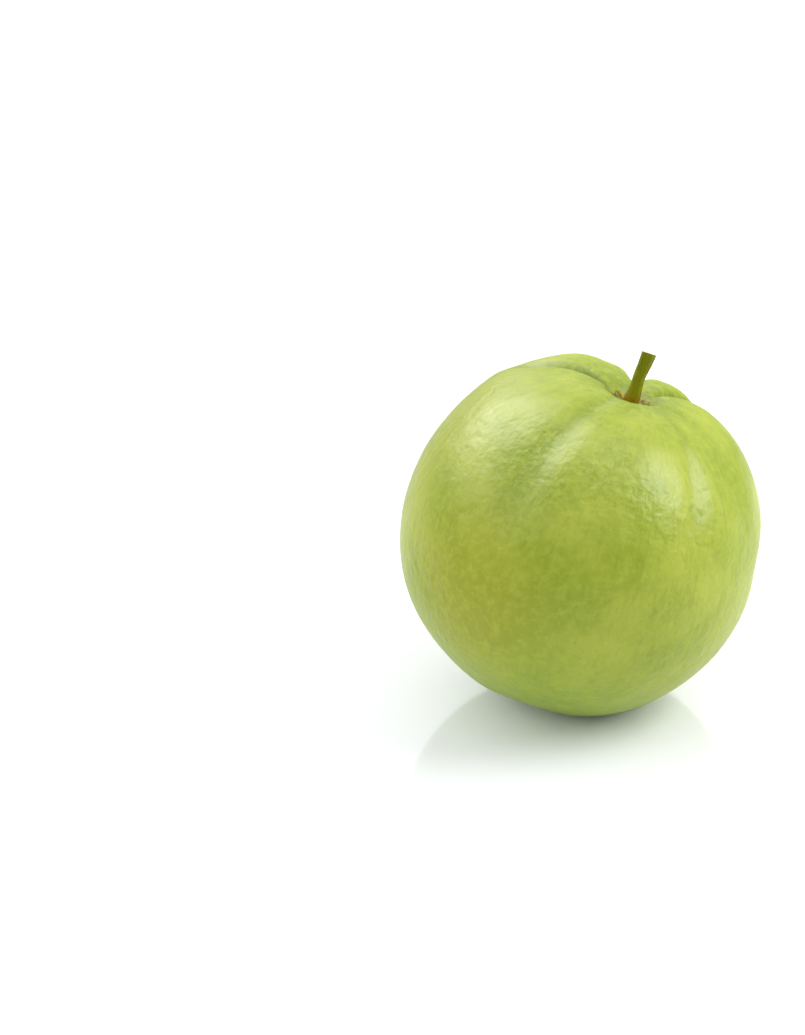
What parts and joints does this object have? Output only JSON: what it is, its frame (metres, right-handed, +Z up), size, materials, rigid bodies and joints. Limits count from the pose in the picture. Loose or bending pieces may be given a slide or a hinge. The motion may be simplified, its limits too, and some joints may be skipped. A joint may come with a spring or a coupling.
{
  "type": "guava fruit",
  "caption": "Whole green guava with shallow furrows running out from a hollow, a short cut stem and a dried calyx, lying on a small flat spot.",
  "frame": {"origin": "middle of the flat spot that the fruit rests on", "axes": "+Z up from the surface it lies on; the stem axis leans 17.5 degrees from +Z towards +X; -Y faces the picture's camera"},
  "size_m": [0.0951, 0.095, 0.0979],
  "materials": {
    "skin": "waxy satin green skin with a fine dimpled grain",
    "stem": "dull olive bark with a dry cut end and a tan corky foot",
    "calyx": "dry, dull brown sepals"
  },
  "bodies": {
    "root": {"fruit": "skin", "stem": "stem", "calyx": "calyx"}
  },
  "joints": []
}
